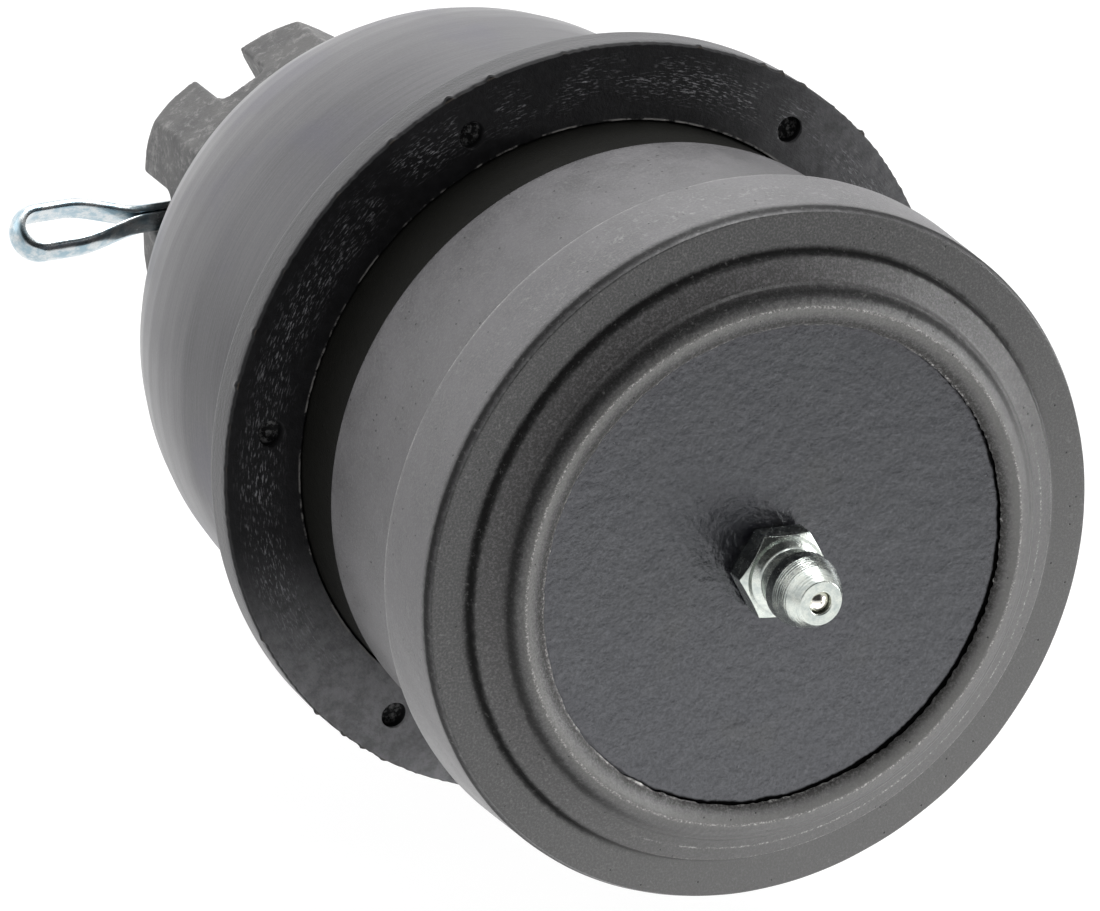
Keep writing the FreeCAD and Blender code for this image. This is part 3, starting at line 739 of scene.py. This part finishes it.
seat_colour = rubber.colour(rubber.fade(rubber.noise(0.5, 4.0, 0.7), 0.45, 0.65), (0.008, 0.008, 0.009),
                            (0.17, 0.17, 0.17))
rubber_colour = rubber.colour(pin_seat, rubber_colour, seat_colour)
bore_flash = rubber.both(rubber.line(rubber.radius, FLANGE_BORE_R + 0.1, 0.14),
                         rubber.fade(rubber.noise(2.2, 5.0, 0.7), 0.46, 0.56))
rim_flash = rubber.both(rubber.line(rubber.radius, FLANGE_R - 0.06, 0.12), front)
rubber_colour = rubber.colour(bore_flash, rubber_colour, (0.16, 0.155, 0.15))
rubber_colour = rubber.colour(rim_flash, rubber_colour, (0.050, 0.042, 0.034))
# Painted sheen: the flange's side wall is coloured a lighter grey than its black front, for the sheen
# of the same rubber.
wall = rubber.both(rubber.fade(rubber.y, FLANGE_FACE_Y + 0.2, FLANGE_FACE_Y + 0.6),
                   rubber.fade(rubber.radius, FLANGE_R - 1.5, FLANGE_R - 1.2))
rubber_colour = rubber.colour(wall, rubber_colour, rubber.colour(
    rubber.fade(rubber.turning(8.0, 0.3), 0.35, 0.65), (0.040, 0.040, 0.043), (0.062, 0.061, 0.065)))
rubber.set(base=rubber_colour, rough=rubber.fade(wall, 0.0, 1.0, 0.62, 0.42),
           specular=rubber.fade(wall, 0.0, 1.0, 0.16, 0.38))
rubber.raise_by(rubber.noise(0.30, 4.0, 0.6), 0.05, 0.9)
rubber.raise_by(scuffs, 0.03, 0.6)
rubber.cover(flange)
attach(flange, "housing")
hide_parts("dust_boot")

satin = Finish("dome_rubber")
streak = satin.turning(7.0, 0.14)
tone = satin.noise(9.0, 3.0, 0.5)
fine = satin.noise(0.22, 4.0, 0.7)
dome_colour = satin.colour(satin.fade(streak, 0.30, 0.70), (0.042, 0.041, 0.046), (0.070, 0.068, 0.075))
dome_colour = satin.colour(satin.fade(tone, 0.50, 0.68, 0.0, 0.6), dome_colour, (0.050, 0.047, 0.068))
dome_colour = satin.colour(satin.fade(fine, 0.45, 0.75, 0.0, 0.4), dome_colour, (0.10, 0.10, 0.105))
satin.set(base=dome_colour, rough=satin.fade(tone, 0.3, 0.7, 0.34, 0.40), ior=1.55)
satin.raise_by(streak, 0.008, 0.8)
satin.raise_by(fine, 0.010, 0.7)
satin.cover(dome)
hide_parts("dust_boot")
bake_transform(dome)


# Castle nut: a hot-forged hexagon, 27 mm across its flats, with six milled slots and a dark
# phosphate coat that is scuffed light all over. It is screwed down to the boot's top.
NUT_FLATS = 27.0
NUT_CORNER_R = 15.7
NUT_BORE_R = 8.95
NUT_BOTTOM_Y = 50.0
NUT_TOP_Y = 71.0
NUT_SLOT = 4.8
NUT_SLOT_FLOOR_Y = 64.8
NUT_TURN = math.radians(2.4)


def hexagon_radius(angle, flats, corner_turn):
    """Distance from the axis to a hexagon's side, with one corner at corner_turn."""
    within = np.mod(angle - corner_turn, math.pi / 3) - math.pi / 6
    return flats / 2 / np.cos(within)


def six_sided(angle, radius, height):
    """Leaves the nut's six flats where the turned outline would stand past them."""
    side = hexagon_radius(angle, NUT_FLATS, NUT_TURN + math.pi / 6)
    return np.minimum(radius, side), height


nut_outline = rounded([
    (NUT_BORE_R, NUT_BOTTOM_Y + 1.0, 0.0),
    (9.9, NUT_BOTTOM_Y, 0.1),
    (13.1, NUT_BOTTOM_Y, 0.2),
    (NUT_CORNER_R, NUT_BOTTOM_Y + 1.5, 0.3),
    (NUT_CORNER_R, NUT_TOP_Y - 2.5, 1.6),
    (14.3, NUT_TOP_Y - 0.75, 1.6),
    (12.5, NUT_TOP_Y, 0.6),
    (9.7, NUT_TOP_Y, 0.2),
    (NUT_BORE_R, NUT_TOP_Y - 0.75, 0.1),
], 0.5)


def slot_tool(turn):
    """Milling cut right across the nut, with rounded corners at its floor."""
    half = NUT_SLOT / 2
    corner = 0.9
    low = NUT_SLOT_FLOOR_Y + corner
    path = [(-half, NUT_TOP_Y + 2), (-half, low)]
    for k in range(1, 7):
        a = math.radians(180 + 15 * k)
        path.append((-half + corner + corner * math.cos(a), low + corner * math.sin(a)))
    for k in range(6):
        a = math.radians(270 + 15 * k)
        path.append((half - corner + corner * math.cos(a), low + corner * math.sin(a)))
    path += [(half, low), (half, NUT_TOP_Y + 2)]
    count = len(path)
    verts = [(-20.0, y, z) for z, y in path] + [(20.0, y, z) for z, y in path]
    faces = [[k, (k + 1) % count, count + (k + 1) % count, count + k] for k in range(count)]
    faces += [list(range(count))[::-1], list(range(count, 2 * count))]
    tool = shown("slot_cutter", verts, faces)
    tool.matrix_world = Matrix.Rotation(-turn, 4, "Y")
    return tool


def remeshed(piece, size, passes):
    """Even mesh of this cell size in mm, with its edges softened as a worn coat's are."""
    remesh = piece.modifiers.new("even", "REMESH")
    remesh.mode = "VOXEL"
    remesh.voxel_size = size * MM
    soften = piece.modifiers.new("soften", "SMOOTH")
    soften.factor = 0.5
    soften.iterations = passes
    return settled(piece)


nut = turned("forged_castle_nut", nut_outline, 360, six_sided, start=NUT_TURN + math.pi / 6)
for k in range(3):
    cut_by(nut, slot_tool(NUT_TURN + k * math.pi / 3))
dressed(remeshed(nut, 0.22, 5))
phosphate = Finish("scuffed_phosphate")
veins = phosphate.noise(1.1, 7.0, 0.78, distortion=0.25)
blotch = phosphate.noise(4.5, 4.0, 0.6)
nut_colour = phosphate.colour(phosphate.fade(blotch, 0.35, 0.65), (0.054, 0.053, 0.054),
                              (0.088, 0.086, 0.085))
nut_colour = phosphate.colour(phosphate.fade(veins, 0.50, 0.66, 0.0, 0.6), nut_colour,
                              (0.24, 0.235, 0.23))
nut_colour = phosphate.colour(phosphate.fade(phosphate.noise(0.7, 5.0, 0.7), 0.56, 0.70, 0.0, 0.6),
                              nut_colour, (0.045, 0.044, 0.044))
phosphate.set(base=nut_colour, rough=phosphate.fade(veins, 0.3, 0.7, 0.62, 0.48))
phosphate.raise_by(phosphate.noise(0.35, 4.0, 0.7), 0.04, 0.9)
phosphate.raise_by(veins, 0.04, 0.6)
phosphate.cover(nut)
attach(nut, "stud")
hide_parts("castle_nut")


# Split pin: half-round steel wire, folded flat side to flat side into two legs and an open eye,
# and zinc plated. It locks the nut's slot to the stud's cross hole.
PIN_HALF_WIDTH = 1.35
PIN_EDGE_T = 0.6
PIN_CROWN_T = 1.1
PIN_SPLIT = 0.06
PIN_CLOSED_X = -14.5
PIN_EYE_START_X = -21.5
PIN_EYE_X = -24.4
PIN_EYE_R = 1.5
PIN_EYE_SHIFT = 0.25
PIN_LONG_END_X = 18.6
PIN_SHORT_END_X = 17.0
PIN_DROP = 0.4


def pin_path(step):
    """Points of the wire's inner face, from the long leg's end round the eye to the short leg's end."""
    top = PIN_EYE_SHIFT + PIN_EYE_R
    bottom = PIN_EYE_SHIFT - PIN_EYE_R
    run = PIN_CLOSED_X - PIN_EYE_START_X

    def leg(opening, x):
        closed = math.copysign(PIN_SPLIT, opening)
        t = np.clip((PIN_CLOSED_X - x) / run, 0, 1)
        return closed + (opening - closed) * t * t * (3 - 2 * t)

    upper_x = np.arange(PIN_LONG_END_X, PIN_EYE_X, -step)
    turn = np.linspace(np.pi / 2, 3 * np.pi / 2, 36)
    lower_x = np.arange(PIN_EYE_X + step, PIN_SHORT_END_X, step)
    xs = np.concatenate([upper_x, PIN_EYE_X + PIN_EYE_R * np.cos(turn), lower_x])
    openings = np.concatenate([leg(top, upper_x), PIN_EYE_SHIFT + PIN_EYE_R * np.sin(turn),
                               leg(bottom, lower_x)])
    return np.stack([xs, openings], -1)


def wire_section():
    """Half-round section as (outward, across) points with softened corners."""
    soft = 0.16
    shoulder = PIN_EDGE_T - 0.05
    points = []
    for k in range(5):
        a = math.radians(22.5 * k)
        points.append((soft - soft * math.cos(a), -PIN_HALF_WIDTH + soft - soft * math.sin(a)))
    points.append((shoulder, -PIN_HALF_WIDTH))
    for side in np.linspace(-1, 1, 13)[1:-1]:
        crown = PIN_EDGE_T + (PIN_CROWN_T - PIN_EDGE_T) * (1 - abs(side) ** 2.2)
        points.append((crown, side * PIN_HALF_WIDTH))
    points.append((shoulder, PIN_HALF_WIDTH))
    for k in range(5):
        a = math.radians(90 - 22.5 * k)
        points.append((soft - soft * math.cos(a), PIN_HALF_WIDTH - soft + soft * math.sin(a)))
    return np.array(points)


def folded_wire():
    """Sweeps the half-round section along the folded path, with both ends nipped a little."""
    path = pin_path(0.22)
    along = np.gradient(path, axis=0)
    along /= np.hypot(along[:, 0], along[:, 1])[:, None]
    outward = np.stack([along[:, 1], -along[:, 0]], -1)
    section = wire_section()
    middle = section.mean(0)
    count = len(section)
    rows = []
    for k in range(len(path)):
        from_end = min(k, len(path) - 1 - k)
        shrink = (0.55, 0.86, 0.97)[from_end] if from_end < 3 else 1.0
        shape = middle + (section - middle) * shrink
        in_plane = path[k] + outward[k] * shape[:, :1]
        rows.append(np.stack([in_plane[:, 0], in_plane[:, 1], shape[:, 1]], -1))
    verts = np.concatenate(rows)
    faces = []
    for row in range(len(path) - 1):
        for i in range(count):
            a = row * count + i
            b = row * count + (i + 1) % count
            faces.append([a, b, b + count, a + count])
    faces.append(list(range(count))[::-1])
    faces.append(list(range(len(verts) - count, len(verts))))
    turn = Matrix.Rotation(-PIN_TURN, 3, "Y") @ Matrix.Rotation(math.radians(45), 3, "X")
    verts = verts @ np.array(turn).T + [0, PIN_Y, -PIN_DROP]
    return shown("folded_split_pin", verts, faces)


split_pin = folded_wire()
zinc = Finish("bright_zinc_wire")
patch = zinc.noise(1.3, 5.0, 0.65)
zinc_colour = zinc.colour(zinc.fade(patch, 0.38, 0.60), (0.27, 0.36, 0.41), (0.50, 0.53, 0.54))
zinc_colour = zinc.colour(zinc.fade(zinc.noise(0.5, 4.0, 0.7), 0.58, 0.72, 0.0, 0.5), zinc_colour,
                          (0.22, 0.27, 0.29))
zinc.set(base=zinc_colour, metal=1.0, rough=zinc.fade(patch, 0.3, 0.7, 0.17, 0.28))
zinc.raise_by(zinc.noise(0.6, 3.0), 0.012, 0.7)
zinc.raise_by(zinc.noise(0.18, 3.0), 0.005, 0.7)
zinc.cover(split_pin)
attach(split_pin, "stud")
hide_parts("cotter_pin")


# Grease fitting: turned from hexagon bar, 7 mm across its flats, and zinc plated.
# Its shank is pressed into the cover. A spring holds the check ball behind the mouth.
HEX_FLATS = 7.0
HEX_TURN = math.radians(61.5)
HEX_FRONT_Y = -28.0
HEX_BACK_Y = -25.95
HEX_CORNER_R = 4.15
MOUTH_HOLE_R = 0.95
GRIP_HEAD_R = 3.05
GRIP_NECK_R = 2.3
SPRING_HOLE_R = 1.32
GREASE_HOLE_R = 0.7
SPRING_SEAT_Y = -26.5
SHANK_END_Y = -20.5
FITTING_TIP_Y = -34.1

fitting_outline = rounded([
    (MOUTH_HOLE_R, FITTING_TIP_Y, 0.10),
    (1.87, FITTING_TIP_Y, 0.09),
    (2.55, -32.95, 2.5),
    (GRIP_HEAD_R, -31.4, 0.25),
    (GRIP_HEAD_R, -30.3, 0.15),
    (GRIP_NECK_R, -29.75, 0.12),
    (GRIP_NECK_R, -29.2, 0.15),
    (2.5, -28.35, 0.5),
    (3.10, HEX_FRONT_Y, 0.06),
    (3.42, HEX_FRONT_Y, 0.05),
    (HEX_CORNER_R, HEX_FRONT_Y + 0.42, 0.04),
    (HEX_CORNER_R, HEX_BACK_Y, 0.05),
    (SHANK_R, HEX_BACK_Y, 0.08),
    (SHANK_R, -20.9, 0.1),
    (2.6, SHANK_END_Y, 0.1),
    (GREASE_HOLE_R, SHANK_END_Y, 0.0),
    (GREASE_HOLE_R, SPRING_SEAT_Y, 0.0),
    (SPRING_HOLE_R, SPRING_SEAT_Y, 0.0),
    (SPRING_HOLE_R, -32.9, 0.0),
    (MOUTH_HOLE_R, -33.6, 0.05),
], 0.05)


def from_hexagon_bar(angle, radius, height):
    """Leaves the bar's six flats on the grip and cuts fine rings on the turned head."""
    side = hexagon_radius(angle, HEX_FLATS, HEX_TURN)
    on_bar = (height < HEX_BACK_Y + 0.1) & (height > HEX_FRONT_Y - 0.05)
    radius = np.where(on_bar, np.minimum(radius, side), radius)
    head = (height < -30.6) & (radius > 1.95) & (height > -33.9)
    rings = np.sin(height * 2 * np.pi / 0.21) + 0.6 * np.sin(height * 2 * np.pi / 0.29)
    return radius + head * 0.0020 * rings, height


fitting = turned("turned_grease_fitting", fitting_outline, 360, from_hexagon_bar, start=HEX_TURN)
plated = Finish("bright_zinc_turning")
dapple = plated.noise(0.8, 4.0, 0.65)
plate_tone = plated.colour(plated.fade(dapple, 0.3, 0.7), (0.43, 0.47, 0.45), (0.62, 0.65, 0.60))
ring_marks = plated.turning(14.0, 0.10)
plate_tone = plated.colour(plated.fade(ring_marks, 0.50, 0.70, 0.0, 0.30), plate_tone,
                           (0.34, 0.37, 0.38))
plated.set(base=plate_tone, metal=1.0, rough=plated.fade(dapple, 0.3, 0.7, 0.20, 0.29))
plated.raise_by(ring_marks, 0.005)
plated.raise_by(plated.noise(0.25, 3.0), 0.008, 0.7)
plated.cover(fitting)
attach(fitting, "housing")
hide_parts("grease_fitting_body")


def wound_coil(radius, wire_r, turns, low_y, high_y):
    """Round wire wound round the stud's axis, from low_y to high_y, in mm."""
    steps = turns * 40
    sides = 12
    verts = []
    faces = []
    for k in range(steps + 1):
        along = k / steps
        turn = 2 * math.pi * turns * along
        y = low_y + (high_y - low_y) * along
        for i in range(sides):
            a = 2 * math.pi * i / sides
            r = radius + wire_r * math.cos(a)
            verts.append((r * math.cos(turn), y + wire_r * math.sin(a), r * math.sin(turn)))
    for k in range(steps):
        for i in range(sides):
            a = k * sides + i
            b = k * sides + (i + 1) % sides
            faces.append([a, b, b + sides, a + sides])
    faces.append(list(range(sides))[::-1])
    faces.append(list(range(steps * sides, steps * sides + sides)))
    return shown("check_spring", verts, faces)


check_spring = wound_coil(0.95, 0.12, 4, -31.95, -26.65)
coil_steel = Finish("coil_spring_steel")
oil = coil_steel.noise(0.4, 3.0)
coil_steel.set(base=coil_steel.colour(oil, (0.20, 0.21, 0.23), (0.36, 0.37, 0.39)), metal=1.0,
               rough=coil_steel.fade(oil, 0.3, 0.7, 0.30, 0.42))
coil_steel.raise_by(oil, 0.003)
coil_steel.cover(check_spring)
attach(check_spring, "housing")
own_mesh(check_spring)
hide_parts("grease_fitting_spring")

polished = Finish("polished_ball", from_mesh=False)
film = polished.noise(0.5, 3.0)
ball_tone = polished.colour(polished.fade(film, 0.3, 0.7), (0.86, 0.82, 0.74), (0.93, 0.90, 0.84))
polished.set(base=ball_tone, metal=1.0, rough=polished.fade(film, 0.3, 0.7, 0.14, 0.22))
polished.raise_by(film, 0.004)
polished.cover(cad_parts["grease_fitting_ball"])


# Floor: a plain pale sheet below the part. The camera sees it as white with a faint shadow.
# For the part's gloss it glows as a painted pool of light, brighter near the part and behind it.
FLOOR_Z = -38.5
FLOOR_HALF = 2500.0
FLOOR_GREY = (0.8, 0.8, 0.8, 1)
SHADOW_GREY = (0.18, 0.18, 0.18, 1)
WHITE_GLOW = 0.925
NEAR_PART = (0.015, -0.045, FLOOR_Z * MM)


def pale_sheet():
    """Flat sheet of square cells, in mm, below the lowest point of the part."""
    verts = []
    cells = 8
    for i in range(cells + 1):
        for j in range(cells + 1):
            verts.append((FLOOR_HALF * (2 * i / cells - 1), FLOOR_HALF * (2 * j / cells - 1), FLOOR_Z))
    faces = []
    for i in range(cells):
        for j in range(cells):
            a = i * (cells + 1) + j
            faces.append([a, a + 1, a + cells + 2, a + cells + 1])
    return shown("floor", verts, faces)


def placed(tree, kind, *inputs, **settings):
    """New node; each input is a number, a colour, another node's output or None to leave it."""
    node = tree.nodes.new(kind)
    for key, value in settings.items():
        setattr(node, key, value)
    for socket, value in zip(node.inputs, inputs):
        if isinstance(value, bpy.types.NodeSocket):
            tree.links.new(value, socket)
        elif value is not None:
            socket.default_value = value
    return node


def mirror_ray(tree, path):
    """1 for rays from a reflection or through glass, 0 for the others."""
    return placed(tree, "ShaderNodeMath", path.outputs["Is Glossy Ray"],
                  path.outputs["Is Transmission Ray"], operation="MAXIMUM").outputs[0]


floor = pale_sheet()
pale = bpy.data.materials.new("pale_sheet")
pale.use_nodes = True
tree = pale.node_tree
tree.nodes.remove(tree.nodes["Principled BSDF"])
matt = placed(tree, "ShaderNodeBsdfDiffuse", FLOOR_GREY)
faint = placed(tree, "ShaderNodeBsdfDiffuse", SHADOW_GREY)
white = placed(tree, "ShaderNodeEmission", None, WHITE_GLOW)
together = placed(tree, "ShaderNodeAddShader", faint.outputs[0], white.outputs[0])
# Painted light: for reflections the sheet glows, brightest near the part and behind it.
spot = placed(tree, "ShaderNodeTexCoord").outputs["Object"]
away = placed(tree, "ShaderNodeVectorMath", spot, NEAR_PART, operation="DISTANCE").outputs["Value"]
glow = placed(tree, "ShaderNodeMapRange", away, 0.03, 0.25, 1.6, 0.75).outputs["Result"]
where = placed(tree, "ShaderNodeSeparateXYZ", spot).outputs["Y"]
behind = placed(tree, "ShaderNodeMapRange", where, 0.03, 0.20, 0.0, 0.75).outputs["Result"]
strength = placed(tree, "ShaderNodeMath", glow, behind, operation="ADD").outputs[0]
mirrored = placed(tree, "ShaderNodeEmission", None, strength)
path = placed(tree, "ShaderNodeLightPath")
by_gloss = placed(tree, "ShaderNodeMixShader", mirror_ray(tree, path), matt.outputs[0],
                  mirrored.outputs[0])
by_camera = placed(tree, "ShaderNodeMixShader", path.outputs["Is Camera Ray"],
                   by_gloss.outputs[0], together.outputs[0])
tree.links.new(by_camera.outputs[0], tree.nodes["Material Output"].inputs["Surface"])
floor.data.materials.append(pale)


# Studio: a white tent all round with one dim side in front of the part, brightest above and behind,
# and soft lamps. A narrow low one lights the lower right of the cover's rim.
DIM_SIDE = Vector((-0.10, -0.88, 0.46)).normalized()
BRIGHT_SIDE = Vector((-0.30, 0.70, 0.65)).normalized()
TENT_LIGHT = 0.60
TENT_SEEN = 1.0

world = bpy.data.worlds.new("white_tent")
bpy.context.scene.world = world
world.use_nodes = True
tree = world.node_tree
background = tree.nodes["Background"]


def toward(side, low, high, at_low, at_high):
    """A smooth change of strength with how near a direction is to this side."""
    direction = placed(tree, "ShaderNodeTexCoord").outputs["Generated"]
    nearness = placed(tree, "ShaderNodeVectorMath", direction, side, operation="DOT_PRODUCT")
    return placed(tree, "ShaderNodeMapRange", nearness.outputs["Value"], low, high, at_low, at_high,
                  interpolation_type="SMOOTHSTEP").outputs["Result"]


tent = placed(tree, "ShaderNodeMath", toward(DIM_SIDE, 0.40, 0.86, 1.0, 0.04),
              toward(BRIGHT_SIDE, 0.3, 0.95, 0.9, 1.9), operation="MULTIPLY")
path = placed(tree, "ShaderNodeLightPath")
by_gloss = placed(tree, "ShaderNodeMix", mirror_ray(tree, path), None, TENT_LIGHT, tent.outputs[0],
                  data_type="FLOAT")
by_camera = placed(tree, "ShaderNodeMix", path.outputs["Is Camera Ray"], None,
                   by_gloss.outputs[0], TENT_SEEN, data_type="FLOAT")
tree.links.new(by_camera.outputs[0], background.inputs["Strength"])
background.inputs["Color"].default_value = (1, 1, 1, 1)


def soft_lamp(name, place, size, power, aim=(0, 0.01, 0), spread=180):
    """Square area lamp at this place in metres, aimed at a point of the part."""
    light = bpy.data.lights.new(name, "AREA")
    light.size = size
    light.energy = power
    light.spread = math.radians(spread)
    lamp = bpy.data.objects.new(name, light)
    lamp.location = place
    lamp.rotation_euler = (Vector(aim) - Vector(place)).to_track_quat("-Z", "Y").to_euler()
    bpy.context.scene.collection.objects.link(lamp)


soft_lamp("right_lamp", (1.0, -0.22, 0.18), 0.45, 3.0)
soft_lamp("top_lamp", (0.20, 0.25, 0.95), 0.5, 9.0)
soft_lamp("left_lamp", (-0.8, 0.6, 0.3), 0.6, 0.7)
soft_lamp("low_lamp", (0.38, -0.29, 0.03), 0.12, 0.030, aim=(0.014, -0.026, -0.032), spread=22)


# Camera: a long lens in front of the cover, above and to the left, rolled a little.
# Its place, aim, roll and lens were fitted to the round edges that the photo shows.
CAMERA_MM = Vector((-361.60, -684.59, 285.53))
AIM_MM = Vector((-4.08, 7.00, -2.19))
ROLL = math.radians(-4.78)
FOCAL_IN_PIXELS = 10000.0
PHOTO_WIDTH = 1100

camera_data = bpy.data.cameras.new("photo_view")
camera_data.sensor_width = 36.0
camera_data.lens = FOCAL_IN_PIXELS / PHOTO_WIDTH * camera_data.sensor_width
camera_data.clip_start = 0.01
camera_data.clip_end = 20.0
camera = bpy.data.objects.new("photo_view", camera_data)
bpy.context.scene.collection.objects.link(camera)
ahead = (AIM_MM - CAMERA_MM).normalized()
level_right = ahead.cross(Vector((0, 0, 1))).normalized()
level_up = level_right.cross(ahead)
right = level_right * math.cos(ROLL) - level_up * math.sin(ROLL)
up = level_right * math.sin(ROLL) + level_up * math.cos(ROLL)
axes = Matrix((right, up, -ahead)).transposed()
camera.matrix_world = Matrix.Translation(CAMERA_MM * MM) @ axes.to_4x4()
bpy.context.scene.camera = camera
bpy.context.scene.view_settings.view_transform = "Standard"
